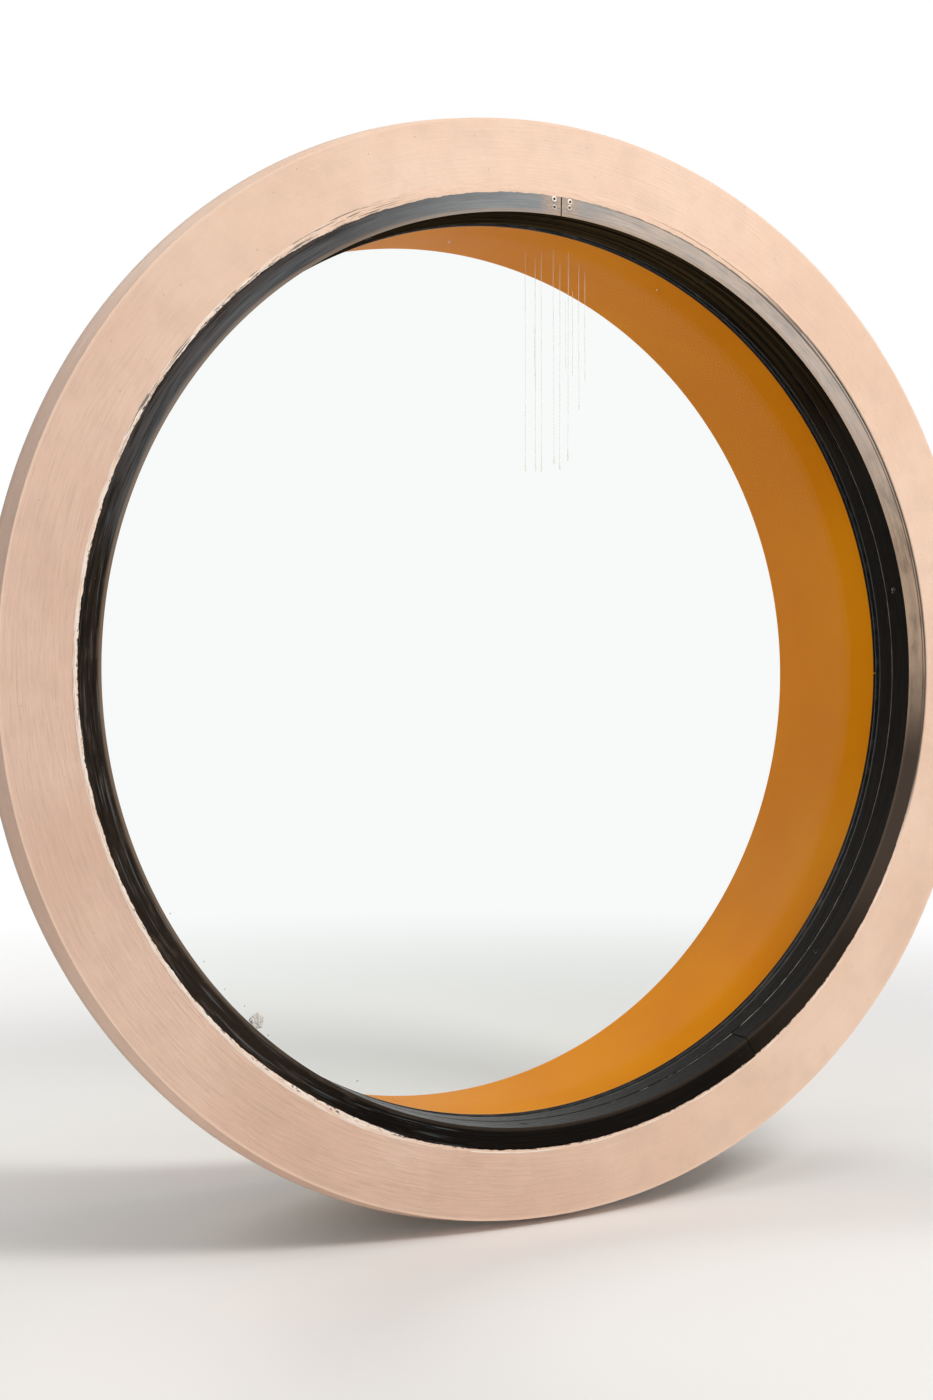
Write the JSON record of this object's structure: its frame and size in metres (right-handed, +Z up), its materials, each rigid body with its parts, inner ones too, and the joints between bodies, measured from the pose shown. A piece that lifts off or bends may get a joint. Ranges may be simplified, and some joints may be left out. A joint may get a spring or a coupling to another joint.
{
  "type": "porthole window",
  "caption": "Fixed round window: a riveted metal cover ring on a rolled frame round a glass pane, with a splayed surround outdoors and a deep lined reveal indoors.",
  "frame": {"origin": "on the window's axis, in the plane of the wall's outer face, where the surround's back stands", "axes": "+Z up, +Y through the wall into the room, -Y outdoors, +X to the right seen from outdoors"},
  "size_m": [1.4598, 0.3625, 1.4598],
  "materials": {
    "surround_paint": "cream masonry paint over cast masonry, brushed in long strokes",
    "cover_paint": "hand-brushed black-bronze metal paint, streaky, satin",
    "frame_primer": "flat grey anti-rust primer",
    "bead_paint": "brushed black metal paint, satin",
    "rivet_metal": "painted over and rubbed bare at the rims",
    "screw_steel": "zinc-plated steel, dulled",
    "dowel_steel": "plain stainless steel",
    "plug_plastic": "grey plastic",
    "pane": "clear, faintly tinted, with drip marks and specks",
    "glazing_rubber": "matt black rubber",
    "block_rubber": "dense black rubber",
    "grey_sealant": "grey sealant, dusty",
    "cream_sealant": "cream filler and paint, ragged edge",
    "lining_lacquer": "smooth satin orange lacquer"
  },
  "bodies": {
    "root": {"surround": "surround_paint", "surround_dowels": "dowel_steel", "cover_short": "cover_paint", "cover_long": "cover_paint", "seam_rivets": "rivet_metal", "front_channel": "frame_primer", "stop_channel": "cover_paint", "frame_band": "frame_primer", "joint_cord": "grey_sealant", "frame_screws": "screw_steel", "screw_plugs": "plug_plastic", "glass_pane": "pane", "outer_gasket": "glazing_rubber", "inner_gasket": "glazing_rubber", "setting_blocks": "block_rubber", "locating_blocks": "block_rubber", "glazing_bead_1": "bead_paint", "glazing_bead_2": "bead_paint", "glazing_bead_3": "bead_paint", "glazing_bead_4": "bead_paint", "bead_screws": "screw_steel", "perimeter_sealant": "cream_sealant", "reveal_lining": "lining_lacquer", "lining_seal": "glazing_rubber", "lining_sealant": "cream_sealant"}
  },
  "joints": []
}
